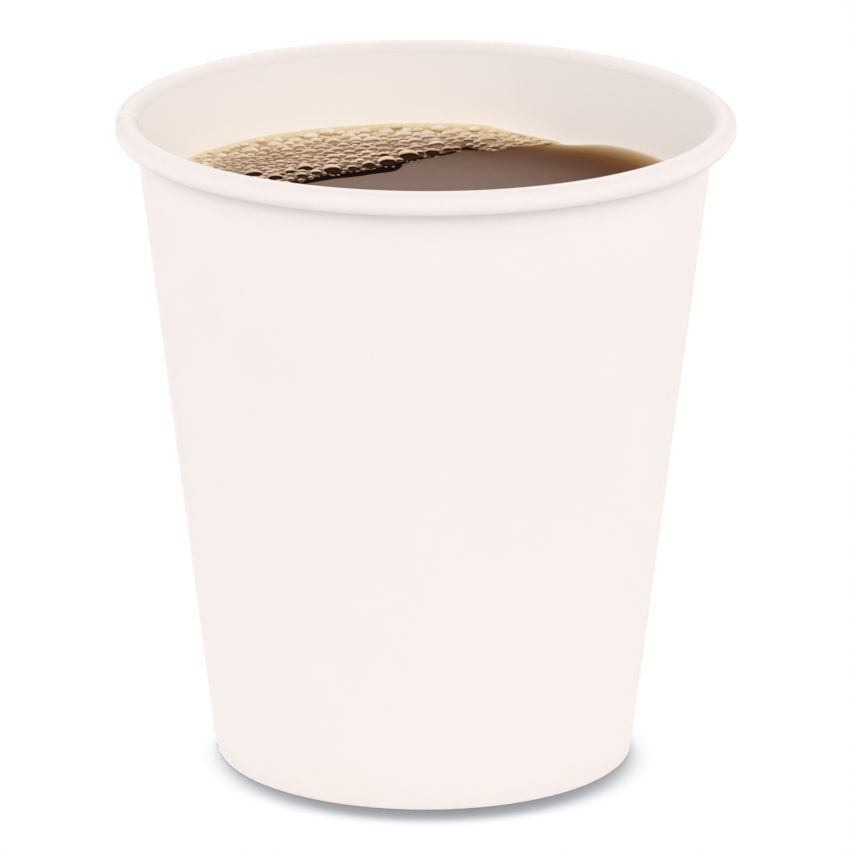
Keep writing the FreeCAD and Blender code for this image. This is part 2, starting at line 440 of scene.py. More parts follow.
# %% [markdown]
# A cup machine winds a flat fan of board into the cone. Here a flat grid is wound in the same way: one
# of its directions follows the section and closes on itself, the other runs once round the cup and
# then on over the width of the lap. At its start the sheet is the outer flap, so there the section
# moves out by one thickness, as the second one drawn above, and it settles back once it is clear of
# the inner flap's edge. That is how the seam gets its real step, also on the rim. The machine knurls
# the inside of the bottom fold to press it tight, which leaves fine upright ribs. A spin would make
# the plain cone too, but a grid knows each point's place on the sheet, which the step, the ribs and
# the flat map for the fibres all need.

# %% Wind the side wall
WIND_STEPS = 592
RIBS = 120
RIB_DEPTH = 0.09 * MM
RIB_LOW = 1.0 * MM
RIB_HIGH = 5.2 * MM
RIB_FADE = 0.6 * MM
LAYER_GAP = 0.01 * MM
WALL_MERGE = 0.0005 * MM
WIND = 360.0 + LAP_ANGLE


def out_of_line(turned):
    """How many sheets further out the section lies, that many degrees after the outer flap's edge."""
    share = min(max((turned - LAP_ANGLE) / SETTLE_ANGLE, 0.0), 1.0)
    return (1 + math.cos(math.pi * share)) / 2


def rib_height(z, turned):
    """How far the knurling stands out of the fold there."""
    fade = min(max(min(z - RIB_LOW, RIB_HIGH - z) / RIB_FADE, 0.0), 1.0)
    return RIB_DEPTH * fade * (0.5 + 0.5 * math.cos(RIBS * math.radians(turned)))


def sheet_point(index, turned):
    """Where a point of the section lies after that many degrees of winding."""
    index %= len(section)
    shift = (layer_out[index] - section[index]) * (1 + LAYER_GAP / WALL_SHEET)
    x, z = section[index] + shift * out_of_line(turned)
    if ribbed[index]:
        x -= rib_height(z, turned)
    angle = math.radians(SEAM_ANGLE - LAP_ANGLE + turned)
    return Vector((x * math.cos(angle), x * math.sin(angle), z))


def make_side_wall():
    mesh = bmesh.new()
    count = len(section)
    grid = bmesh.ops.create_grid(mesh, x_segments=WIND_STEPS, y_segments=count, size=0.5)["verts"]
    spot = {vert: (round((vert.co.y + 0.5) * count), (vert.co.x + 0.5) * WIND) for vert in grid}
    lengths = [0.0]
    for before, after in zip(section, section[1:] + section[:1]):
        lengths.append(lengths[-1] + (after - before).length)
    sheet_map = mesh.loops.layers.uv.new("sheet")
    middle_radius = (RIM_RADIUS + BASE_RADIUS) / 2
    for face in mesh.faces:
        face.material_index = sides[min(spot[vert][0] for vert in face.verts)]
        for loop in face.loops:
            index, turned = spot[loop.vert]
            loop[sheet_map].uv = (math.radians(turned) * middle_radius / MM, lengths[index] / MM)
    for vert in grid:
        vert.co = sheet_point(*spot[vert])
    bmesh.ops.remove_doubles(mesh, verts=mesh.verts[:], dist=WALL_MERGE)
    bmesh.ops.recalc_face_normals(mesh, faces=mesh.faces[:])
    ends = bmesh.ops.holes_fill(mesh, edges=[edge for edge in mesh.edges if edge.is_boundary])
    for face in ends["faces"]:
        face.material_index = CUT
    return mesh


finish_mesh(make_side_wall(), "side_wall", "cup_wall",
            [coated_board, outside_board, cut_edge, shaded_rolled_board])

# %% [markdown]
# ## The bottom disc
#
# The bottom is a flat disc whose edge is drawn down into a skirt. It is drawn in section from the
# axis outward, round the bend and down, and back again one thickness further in, then spun through
# a full turn.

# %% Spin the bottom disc
DISC_FLAT_RINGS, BEND_STEPS, SKIRT_STEPS = 6, 8, 3
DISC_STEPS = 240
SKIRT_CLEARANCE = 0.05 * MM
INSIDE_GAP = 0.01 * MM


def make_bottom():
    top_z = bottom_high.z
    under_z = top_z - BOTTOM_SHEET
    outer_bend = BOTTOM_BEND + BOTTOM_SHEET
    bend_z = top_z - outer_bend
    bend_x = face_x(bend_z, -outer_bend - INSIDE_GAP)
    lean = math.degrees(LEAN)
    foot_z = WALL_SHEET + SKIRT_CLEARANCE
    skirt_outer = Vector((face_x(foot_z, -INSIDE_GAP), foot_z))
    skirt_inner = skirt_outer + Vector((-math.cos(LEAN), math.sin(LEAN))) * BOTTOM_SHEET
    outline = straight((0, top_z), (bend_x, top_z), DISC_FLAT_RINGS)
    outline += arc(bend_x, bend_z, outer_bend, 90.0, -lean, BEND_STEPS)
    outline += straight(on_arc(bend_x, bend_z, outer_bend, -lean), skirt_outer, SKIRT_STEPS)
    outline += [skirt_outer]
    outline += straight(skirt_inner, on_arc(bend_x, bend_z, BOTTOM_BEND, -lean), SKIRT_STEPS)
    outline += arc(bend_x, bend_z, BOTTOM_BEND, -lean, 90.0, BEND_STEPS)
    outline += straight((bend_x, under_z), (0, under_z), DISC_FLAT_RINGS)
    outline += [Vector((0, under_z))]
    mesh = spun_solid(outline, DISC_STEPS)
    sheet_map = mesh.loops.layers.uv.new("sheet")
    for face in mesh.faces:
        for loop in face.loops:
            loop[sheet_map].uv = (loop.vert.co.x / MM, loop.vert.co.y / MM)
    return mesh


finish_mesh(make_bottom(), "bottom_disc", "cup_bottom", [bottom_board])

# %% [markdown]
# ## The outline of the froth
#
# The froth floats as a crescent against the wall. The open coffee is a large circle, and the froth's
# edge swells into it or draws back from it in a few places. The coffee needs this outline as well,
# because it creeps up the froth's edge as it creeps up the wall.

# %% Outline the froth
POOL_RADIUS = 68.0 * MM
FROTH_WIDTH = 20.7 * MM
FROTH_DIRECTION = 142.0
FROTH_START = 60.0
FROTH_END = 223.0
# each swell: its middle and width in degrees round the cup, and how far it stands into the coffee
SWELLS = [(150.0, 20.0, -3.6 * MM), (104.0, 8.0, 1.2 * MM), (79.5, 2.0, -1.5 * MM),
          (71.5, 3.0, 2.2 * MM), (64.0, 4.0, 1.4 * MM), (146.0, 12.0, 1.6 * MM)]
FILL_Z = froth_low.z
WATER_RADIUS = face_x(FILL_Z)
POOL = Matrix.Rotation(math.radians(FROTH_DIRECTION + 180.0), 2) @ Vector(
    (POOL_RADIUS + FROTH_WIDTH - WATER_RADIUS, 0.0))


def swelling(degrees):
    """How far the open edge stands out from its circle in that direction."""
    return sum(swell * math.exp(-((degrees - middle) / width) ** 2) for middle, width, swell in SWELLS)


def froth_edge(degrees):
    """Distance from the cup's axis to the froth's open edge in that direction."""
    way = Vector((math.cos(math.radians(degrees)), math.sin(math.radians(degrees))))
    along = way.dot(POOL)
    reach = along + math.sqrt(along ** 2 - POOL.length_squared + POOL_RADIUS ** 2)
    return min(reach - swelling(degrees), WATER_RADIUS)


def inside_froth(x, y):
    """How far a point is inside the froth's open edge. It is negative in the open coffee."""
    degrees = math.degrees(math.atan2(y, x)) % 360.0
    return (Vector((x, y)) - POOL).length - POOL_RADIUS + swelling(degrees)


print("the froth reaches", round((WATER_RADIUS - froth_edge(120.0)) / MM, 1), "mm from the wall")

# %% [markdown]
# ## The coffee
#
# Black coffee is so deep in colour that a cupful is opaque. Only its thin edge, where it creeps up
# the wall, lets the white board through: there it goes from pale tan through amber to dark brown. The
# surface is a spun disc whose rim is then lifted along the wall, and along the froth, in the curve
# that surface tension gives. The creep isn't even all round, so its upper edge waves. Each vertex
# keeps how far it lies from that edge, and the finish turns the distance into colour. It keeps how
# clearly it mirrors as well: the still middle does, the curved strips along wall and froth don't. The
# clear coat of the finish makes the mirror image, so that attribute is its weight.

# %% Spin the coffee
CREEP_LENGTH = 2.4 * MM
CREEP_RISE = 1.25 * MM
CREEP_WAVE = 0.14 * MM
CREEP_LEAST = -0.08 * MM
CREEP_DIP = (60.0, 8.5, 1.35 * MM)
MIRROR = 0.84
WALL_DULL = (0.96, 15.5 * MM)
FROTH_DULL = (0.5, 0.8 * MM)
DULL_CURVE = 2.2
WALL_CLEARANCE = 0.01 * MM
SURFACE_SLACK = 0.01 * MM
COFFEE_RINGS = 44
RINGS_TO_WALL = 1.7
SIDE_STEPS = 6
COFFEE_STEPS = 288


def creep_rise(degrees):
    """How high the coffee's edge stands above its level in that direction."""
    middle, width, depth = CREEP_DIP
    wave = math.sin(math.radians(5 * degrees + 265)) + 0.5 * math.sin(math.radians(13 * degrees))
    rise = CREEP_RISE + CREEP_WAVE * wave - depth * math.exp(-((degrees - middle) / width) ** 2)
    return max(CREEP_LEAST, rise)


def make_coffee():
    floor_z = coffee_low.z
    outline = [Vector((0, floor_z)), Vector((face_x(floor_z, -WALL_CLEARANCE), floor_z))]
    outline += straight(outline[-1], (WATER_RADIUS - WALL_CLEARANCE, FILL_Z), SIDE_STEPS)[1:]
    for ring in range(COFFEE_RINGS + 1):
        share = (ring / COFFEE_RINGS) ** RINGS_TO_WALL
        outline.append(Vector(((WATER_RADIUS - WALL_CLEARANCE) * (1 - share), FILL_Z)))
    mesh = spun_solid(outline, COFFEE_STEPS)
    distance = mesh.verts.layers.float.new("from_edge")
    mirror = mesh.verts.layers.float.new("mirror")
    for vert in mesh.verts:
        if vert.co.z < FILL_Z - SURFACE_SLACK:
            continue
        reach, degrees = vert.co.xy.length, math.degrees(math.atan2(vert.co.y, vert.co.x)) % 360.0
        gap = max(0.0, WATER_RADIUS - WALL_CLEARANCE - reach)
        rise = creep_rise(degrees)
        froth_gap = max(0.0, -inside_froth(vert.co.x, vert.co.y))
        lift = rise * math.exp(-gap / CREEP_LENGTH)
        vert[distance] = (gap + rise - lift) / MM
        dull_wall = WALL_DULL[0] * math.exp(-(gap / WALL_DULL[1]) ** DULL_CURVE)
        dull_froth = FROTH_DULL[0] * math.exp(-(froth_gap / FROTH_DULL[1]) ** 2)
        vert[mirror] = MIRROR * (1 - dull_wall) * (1 - dull_froth)
        vert.co.z += lift
        vert.co.xy *= face_x(FILL_Z + lift) / WATER_RADIUS
    return mesh


# %% Make the coffee's finish
FADE_LENGTH = 12.0


def coffee_finish():
    material, tree, surface, _ = new_material("black_coffee")
    distance = add(tree, "Attribute", attribute_name="from_edge")
    share = sums(tree, "DIVIDE", distance.outputs["Fac"], FADE_LENGTH, clamp=True)
    colour = ramp(tree, share, [
        (0.0, tint(242, 231, 221)), (0.03, tint(224, 204, 182)), (0.075, tint(200, 170, 136)),
        (0.13, tint(182, 148, 108)), (0.22, tint(159, 120, 77)), (0.36, tint(130, 86, 46)),
        (0.55, tint(112, 68, 36)), (0.8, tint(104, 60, 29)), (1.0, tint(99, 56, 23)),
    ])
    mirror = add(tree, "Attribute", attribute_name="mirror")
    fill(tree, surface, {"Base Color": colour, "Roughness": 0.3, "Specular IOR Level": 0.0,
                         "Coat Weight": mirror.outputs["Fac"], "Coat Roughness": 0.03, "Coat IOR": 1.33})
    return material


black_coffee = coffee_finish()
finish_mesh(make_coffee(), "black_coffee", "coffee", [black_coffee], crease=60.0)

# %% [markdown]
# ## The froth
#
# A raft of the finest bubbles carries the larger ones. It is made from a grid that is laid along the
# crescent: across, it starts as a thin lip in front of the froth, rises to the froth's thickness, and
# climbs the wall at the back. The lip is a smooth film of coffee, painted near-black: painted shade
# and a painted dark reflection of the froth's shaded front. Beyond the seam the raft follows the
# wall's step outward, so that no slit opens between them. Each vertex keeps its shade and how creamy
# it is, for the finish. Towards the open edge the raft is painted darker as shade, down to near-black
# on the lip.

# %% Lay the raft
RAFT_LONG, LIP_ROWS, RAFT_ROWS = 240, 6, 16
RAFT_SUNK = 0.2 * MM
FROTH_RAFT = 0.7 * MM
LIP_HEIGHT = 0.04 * MM
CLIMB_RUN = 2.0 * MM
SHOULDER = 2.2 * MM
CREAM_REACH = 4.2 * MM
CREAM_CURVE = 1.6
ROWS_TO_EDGE = 1.2
LIP_LEAST = 0.5
LIP_DEEP = 2.1
LIP_ROUND = (99.0, 5.0)
LIP_END = (116.0, 152.0)
LIP_FADE = (0.5 * MM, 4.0 * MM)
TIP_ENDS = (66.0, 80.0)
TIP_THIN = (64.0, 79.0)
NEAR_END = (210.0, 219.0)
EDGE_SHADE_LEAST = 0.5 * MM
EDGE_SHADE_WIDENS = (88.0, 103.0)
PALE_TOP = 0.9 * MM
WALL_TOP = face_x(froth_high.z, -WALL_CLEARANCE)


def lip_at(degrees):
    """Width of the smooth lip, painted near-black as shade and a dark reflection. It is wide only where
    the froth's deepest stretch is.
    """
    width = WATER_RADIUS - froth_edge(degrees)
    rounding = min(max((degrees - LIP_ROUND[0]) / LIP_ROUND[1], 0.0), 1.0)
    deep = math.sqrt(rounding * (2 - rounding)) * (1 - smooth_step(degrees, *LIP_END))
    return (LIP_LEAST + LIP_DEEP * deep) * MM * smooth_step(width, *LIP_FADE)


def tip_at(degrees):
    """1 at the froth's thin right-hand tip, 0 further back."""
    return 1 - smooth_step(degrees, *TIP_ENDS)


def raft_height(wall_gap, edge_gap, degrees):
    """Height of the raft's upper side above the coffee's level."""
    full = smooth_step(degrees, *TIP_THIN)
    climb = min(max(1 - wall_gap / CLIMB_RUN, 0.0), 1.0) * (0.3 + 0.7 * full)
    rise = min(max(edge_gap / SHOULDER, 0.0), 1.0)
    low = LIP_HEIGHT + (FROTH_RAFT * (0.35 + 0.65 * full) - LIP_HEIGHT) * math.sin(rise * math.pi / 2)
    return low + (froth_high.z - FILL_Z - FROTH_RAFT) * climb ** 2


def cream_at(wall_gap):
    """1 against the wall, falling to 0 where the froth floats on open coffee."""
    return math.exp(-(max(0.0, wall_gap) / CREAM_REACH) ** CREAM_CURVE)


def raft_reach(degrees, across):
    """Distance from the axis, for a share of the way from the lip's front to the wall."""
    edge, lip_share = froth_edge(degrees), LIP_ROWS / (LIP_ROWS + RAFT_ROWS)
    if across < lip_share:
        return edge - lip_at(degrees) * (1 - across / lip_share)
    return edge + (WALL_TOP - edge) * ((across - lip_share) / (1 - lip_share)) ** ROWS_TO_EDGE


def seam_room(degrees):
    """How far the wall's inner face steps outward, just beyond the inner flap's edge."""
    past_flap = degrees - SEAM_ANGLE
    return WALL_SHEET * out_of_line(past_flap + LAP_ANGLE) if past_flap > 0 else 0.0


def lay_raft(mesh, shade, cream, brow):
    """Lays a grid along the crescent and gives it an underside, sunk a little into the coffee."""
    rows = LIP_ROWS + RAFT_ROWS
    grid = bmesh.ops.create_grid(mesh, x_segments=RAFT_LONG, y_segments=rows, size=0.5)["verts"]
    for vert in grid:
        degrees = FROTH_START + (FROTH_END - FROTH_START) * (vert.co.x + 0.5)
        reach = raft_reach(degrees, vert.co.y + 0.5)
        way = Vector((math.cos(math.radians(degrees)), math.sin(math.radians(degrees))))
        wall_gap = max(0.0, WATER_RADIUS - reach)
        edge_gap = inside_froth(reach * way.x, reach * way.y)
        height = raft_height(wall_gap, edge_gap, degrees)
        reach = min(reach, face_x(FILL_Z + height, -WALL_CLEARANCE))
        reach += seam_room(degrees) * (1 - smooth_step(wall_gap, 0.0, CLIMB_RUN))
        vert.co = (reach * way.x, reach * way.y, FILL_Z + height)
        # painted shade: towards the open edge the raft darkens, down to near-black on the lip
        inner = smooth_step(edge_gap, 0.0, mix(EDGE_SHADE_LEAST, SHOULDER, smooth_step(degrees, *EDGE_SHADE_WIDENS)))
        tip = max(tip_at(degrees), smooth_step(degrees, *NEAR_END))
        creamy = max(cream_at(wall_gap), 0.6 * tip)
        top = 1 - smooth_step(wall_gap, 0.0, PALE_TOP)
        tone = 0.5 + 0.1 * creamy + 0.26 * top - 0.05 * tip
        vert[shade] = max(inner, tip) * tone
        vert[cream] = creamy * max(inner, tip)
        vert[brow] = -1.0
    faces = list({face for vert in grid for face in vert.link_faces})
    lowered = bmesh.ops.extrude_face_region(mesh, geom=faces, use_keep_orig=True)["geom"]
    for vert in [item for item in lowered if isinstance(item, bmesh.types.BMVert)]:
        vert.co.z = FILL_Z - RAFT_SUNK
        vert.co.xy *= min(1.0, face_x(vert.co.z, -WALL_CLEARANCE) / vert.co.xy.length)
        vert[brow] = -1.0


print("the raft climbs the wall by", round((froth_high.z - FILL_Z) / MM, 2), "mm")

# %% [markdown]
# Froth has a few large bubbles, many middling ones and countless small ones in the gaps. The large
# ones give it its face, so they are placed one by one: along the open edge, where they are painted
# with a wide dark window, over the middle, and in a pale row at the wall.

# %% Place the large bubbles
WINDOWED_BUBBLES = [
    # x, y and radius in mm: along the open edge, with a wide painted dark window
    (-5.7, 21.8, 1.44), (-8.4, 20.2, 1.05), (-10.8, 18.6, 0.96), (-13.8, 17.1, 1.4), (-16.1, 15.2, 0.9),
    (-18.2, 13.3, 0.95), (-2.6, 25.2, 1.6), (0.9, 27.7, 1.15), (4.5, 30.2, 0.8), (7.6, 31.2, 0.6),
    (10.2, 30.8, 0.8), (-17.7, 17.1, 1.25), (-22.0, 11.6, 1.2), (-25.2, 13.7, 1.4), (-19.9, 15.2, 0.95),
    (-6.2, 24.7, 0.9), (-21.2, 13.6, 0.8),
]
LARGE_BUBBLES = [
    # over the middle
    (-17.2, 25.9, 1.25), (-14.4, 25.7, 1.0), (-15.5, 28.7, 1.2), (-11.3, 25.6, 1.05), (-12.2, 29.8, 1.05),
    (-8.7, 25.5, 1.05), (-9.0, 29.4, 1.1), (-10.8, 22.8, 1.1), (-11.9, 20.3, 0.8), (-8.7, 22.6, 0.95),
    (-6.1, 27.4, 1.05), (-4.7, 32.6, 1.05), (1.6, 30.3, 1.35), (-1.6, 32.6, 1.25), (13.9, 33.4, 0.6),
    (3.8, 33.4, 1.05), (6.3, 33.4, 0.85), (-1.4, 28.7, 1.0), (-3.8, 29.9, 0.95),
    # against the wall
    (-22.4, 30.3, 1.15), (-26.0, 26.6, 1.4), (-26.9, 22.8, 1.05), (-30.2, 23.9, 1.0), (-19.4, 32.5, 1.2),
    (-16.3, 33.0, 1.0), (-13.2, 34.1, 0.9), (-8.0, 32.8, 1.45), (-10.8, 37.2, 1.05), (-3.4, 36.5, 1.35),
    (0.3, 37.3, 1.05), (3.4, 37.1, 1.15), (6.0, 36.5, 1.05), (9.1, 34.0, 1.5), (12.2, 34.3, 0.9),
]
print("placed", len(WINDOWED_BUBBLES) + len(LARGE_BUBBLES), "large bubbles")

# %% [markdown]
# The others are thrown onto the raft, largest first, and a throw that would sink too far into a
# neighbour is taken back. Towards the seam and the tip the froth is finer. Crumbs, the tiniest bubbles
# of all, gather at the open side of the large windowed ones. A seed makes the throws the same each
# time.

# %% Throw the bubbles
SEED = 5
CELL = 4.0 * MM
CROWDING = 0.86
OVER_EDGE = 0.4 * MM
WINDOW_DEGREES = -80.0
CRUMBS = 7
CRUMB_SPREAD = 65.0
CRUMBED_RADIUS = 0.8 * MM
FINE_AT_SEAM = (0.35, 118.0, 140.0)
FINE_AT_TIP = (0.25, 64.0, 80.0)
THROWS = [
    # tries, least and greatest radius in mm, then in radii: least and greatest gap to wall, to edge
    (1800, 0.75, 1.3, 0.5, 1.7, 1.0, 60.0),
    (1500, 0.9, 1.3, 1.0, 60.0, 0.75, 1.1),
    (2500, 0.95, 1.25, 1.0, 60.0, 0.9, 60.0),
    (4000, 0.7, 0.95, 0.9, 60.0, 0.8, 60.0),
    (1500, 0.3, 0.5, 1.6, 60.0, -0.2, 0.4),
    (7000, 0.45, 0.7, 2.0, 60.0, 0.7, 60.0),
    (16000, 0.25, 0.45, 3.4, 60.0, 0.3, 60.0),
]


def grain_at(degrees):
    """The size of the bubbles in that direction, as a share of the full one."""
    at_seam, *seam_ends = FINE_AT_SEAM
    at_tip, *tip_ends = FINE_AT_TIP
    return 1 - at_seam * smooth_step(degrees, *seam_ends) - at_tip * (1 - smooth_step(degrees, *tip_ends))


class Bubbles:
    """The bubbles so far, kept in square cells so that a new one is only held against those nearby."""

    def __init__(self):
        self.cells, self.kept = {}, []

    def home(self, x, y):
        return (math.floor(x / CELL), math.floor(y / CELL))

    def has_room(self, x, y, radius):
        column, row = self.home(x, y)
        around = [(column + i, row + j) for i in (-1, 0, 1) for j in (-1, 0, 1)]
        near = [other for cell in around for other in self.cells.get(cell, [])]
        return all(math.hypot(x - a, y - b) >= CROWDING * (radius + other) for a, b, other in near)

    def keep(self, x, y, radius, windowed=0.0):
        self.cells.setdefault(self.home(x, y), []).append((x, y, radius))
        self.kept.append((x, y, radius, windowed))


def crumbs_under(bubble):
    """Tiny bubbles that gather at the foot of a large one on the open side."""
    x, y, radius, windowed = bubble
    if radius < CRUMBED_RADIUS or not windowed:
        return []
    crumbs = []
    for _ in range(CRUMBS):
        turn = math.radians(WINDOW_DEGREES + rng.uniform(-CRUMB_SPREAD, CRUMB_SPREAD))
        away = radius * rng.uniform(0.92, 1.12)
        size = rng.uniform(0.13, 0.27) * MM
        crumbs.append((x + away * math.cos(turn), y + away * math.sin(turn), size, 0.0))
    return crumbs


def throw_bubbles():
    bubbles = Bubbles()
    for placed, windowed in ((WINDOWED_BUBBLES, 1.0), (LARGE_BUBBLES, 0.0)):
        for x, y, radius in placed:
            bubbles.keep(x * MM, y * MM, radius * MM, windowed)
    for tries, small, large, wall_least, wall_most, edge_least, edge_most in THROWS:
        for _ in range(tries):
            degrees = rng.uniform(FROTH_START, FROTH_END)
            radius = rng.uniform(small, large) * MM * grain_at(degrees)
            edge = froth_edge(degrees) - OVER_EDGE
            reach = rng.uniform(edge, WATER_RADIUS)
            x, y = reach * math.cos(math.radians(degrees)), reach * math.sin(math.radians(degrees))
            wall_gap, edge_gap = WATER_RADIUS - reach, inside_froth(x, y)
            if rng.random() > (WATER_RADIUS - edge) / FROTH_WIDTH + 0.15:
                continue
            if not wall_least * radius <= wall_gap <= wall_most * radius:
                continue
            if not edge_least * radius <= edge_gap <= edge_most * radius:
                continue
            if bubbles.has_room(x, y, radius):
                bubbles.keep(x, y, radius)
    return bubbles.kept + [crumb for bubble in bubbles.kept for crumb in crumbs_under(bubble)]


rng = random.Random(SEED)
bubbles = throw_bubbles()
print("there are", len(bubbles), "bubbles in all")

# %% [markdown]
# A bubble is the upper part of a ball. Its film is clear, but here the surface is opaque and its
# light and shade are painted. On the side of the open cup it is painted dark, in place of the window
# onto the dark coffee, darkest at its upper edge: painted shade. The far side and both flanks lie
# against other bubbles and scatter the light, so there it is painted pale: a painted highlight. The
# border between the two is a circle round a pole that leans back, towards the wall, and from the
# front that circle shows as the arch that makes froth look like rows of eyebrows. Each vertex keeps
# how far beyond that border it lies, how light the painted arch is, the painted shade of the film
# below it and how creamy it is. The finish draws the border from that, so it is as sharp as it
# should be on bubbles with few faces.

# %% Raise the bubbles
WINDOW_WAY = Vector((math.cos(math.radians(WINDOW_DEGREES)), math.sin(math.radians(WINDOW_DEGREES)), 0.0))
POLE_LEAN = math.radians(60.0)
POLE = Vector((0.0, 0.0, math.cos(POLE_LEAN))) - WINDOW_WAY * math.sin(POLE_LEAN)
# for bubbles over a radius in mm: the segments and rings of their ball
TEMPLATES = [(1.0, 24, 16), (0.6, 14, 10), (0.0, 10, 6)]
BALL_CUT = -0.2
BUBBLE_SUNK = 0.05 * MM
FULL_SIZE = 1.1 * MM
EDGE_REACH = (1.0 * MM, 2.0 * MM)
OPEN_REACH = (1.2 * MM, 9.0 * MM)
WINDOW_SHADE = 0.03
EDGE_FILM = 0.1


def bubble_template(segments, rings):
    """The upper part of a ball of radius 1, closed below."""
    ball = bmesh.new()
    bmesh.ops.create_uvsphere(ball, u_segments=segments, v_segments=rings, radius=1.0)
    everything = ball.verts[:] + ball.edges[:] + ball.faces[:]
    bmesh.ops.bisect_plane(ball, geom=everything, plane_co=(0, 0, BALL_CUT), plane_no=(0, 0, 1),
                           clear_inner=True)
    bmesh.ops.holes_fill(ball, edges=[edge for edge in ball.edges if edge.is_boundary])
    return to_data(ball, "bubble_template")


def raise_bubble(mesh, template, bubble, shade, cream, brow, painted_highlight):
    """Adds one bubble to the froth, with what the finish needs to know kept at its vertices."""
    x, y, radius, windowed = bubble
    wall_gap, edge_gap = WATER_RADIUS - math.hypot(x, y), inside_froth(x, y)
    degrees = math.degrees(math.atan2(y, x)) % 360.0
    known = len(mesh.verts)
    mesh.from_mesh(template)
    mesh.verts.ensure_lookup_table()
    open_side = 1 - smooth_step(edge_gap, *OPEN_REACH)
    size = min(1.0, radius / FULL_SIZE)
    at_edge = size * max(windowed, 1 - smooth_step(edge_gap, *EDGE_REACH))
    tip = tip_at(degrees)
    creamy = max(cream_at(wall_gap - 0.6 * radius), 0.5 * tip) * (1 - 0.7 * at_edge * (1 - tip))
    tall = (rng.uniform(0.5, 0.6) + 0.05 * at_edge) * (1 - 0.25 * tip)
    # painted highlight: how bright the pale arch is
    light = rng.uniform(0.84, 1.0) * (1 - 0.04 * at_edge) * (1 - 0.16 * tip)
    # painted shade: how dark the window below the arch is
    window = (0.34 - 0.12 * open_side + 0.12 * (1 - size)) * rng.uniform(0.75, 1.25)
    window = mix(mix(window, 0.6 * light, creamy), WINDOW_SHADE, at_edge)
    film = mix(mix(0.6 - 0.12 * open_side, 0.62 * light, creamy), EDGE_FILM, at_edge)
    border = rng.uniform(-0.19, -0.03) - 0.02 * at_edge - 0.42 * creamy
    base = FILL_Z + raft_height(wall_gap, edge_gap, degrees) - BUBBLE_SUNK
    turn = Matrix.Rotation(rng.uniform(0.0, math.tau), 3, "Z")
    for vert in mesh.verts[known:]:
        ball = turn @ vert.co
        lean = ball.dot(POLE) - border
        low = smooth_step(-lean, 0.08, 0.5)
        foot = (1 - 0.8 * at_edge) * (1 - smooth_step(ball.z, 0.05, 0.3))
        vert.co = Vector((x + ball.x * radius, y + ball.y * radius, base + ball.z * radius * tall))
        vert.co.xy *= min(1.0, face_x(vert.co.z, -WALL_CLEARANCE) / vert.co.xy.length)
        vert[shade] = mix(mix(window, film, low), 0.5, foot)
        vert[brow] = lean - 0.4 * foot * creamy
        vert[painted_highlight] = light
        vert[cream] = creamy


def make_froth():
    mesh = bmesh.new()
    shade = mesh.verts.layers.float.new("shade")
    cream = mesh.verts.layers.float.new("cream")
    brow = mesh.verts.layers.float.new("brow")
    painted_highlight = mesh.verts.layers.float.new("painted_highlight")
    lay_raft(mesh, shade, cream, brow)
    templates = [(least * MM, bubble_template(segments, rings)) for least, segments, rings in TEMPLATES]
    for bubble in bubbles:
        template = next(template for least, template in templates if bubble[2] > least)
        raise_bubble(mesh, template, bubble, shade, cream, brow, painted_highlight)
    for least, template in templates:
        print(len(template.polygons), "faces on a bubble over", round(least / MM, 2), "mm")
        bpy.data.meshes.remove(template)
    bmesh.ops.recalc_face_normals(mesh, faces=mesh.faces[:])
    return mesh


# %% [markdown]
# The froth's finish first puts the painted light arch, a painted highlight, over the painted shade of
# the film, with a border that a noise makes a little uneven. It then turns the sum into colour along
# two ramps, one for the tan froth over the coffee and one for the cream froth over the white wall,
# and mixes them. Far smaller bubbles than the modelled ones show as a fine cell pattern. The froth is
# wet, so it has a thin clear coat. The smooth lip has none: its near-black is painted shade and a
# painted dark reflection of the froth's front. The still coffee could mirror the bubbles at its edge
# as dark half-discs. Here it shows none of them, so the froth is hidden from the rays of a mirror image.

# %% Make the froth's finish
NOISE_SCALE = 1300.0
CELL_SCALE = 2600.0
ARCH_BORDER = (-0.05, 0.09)


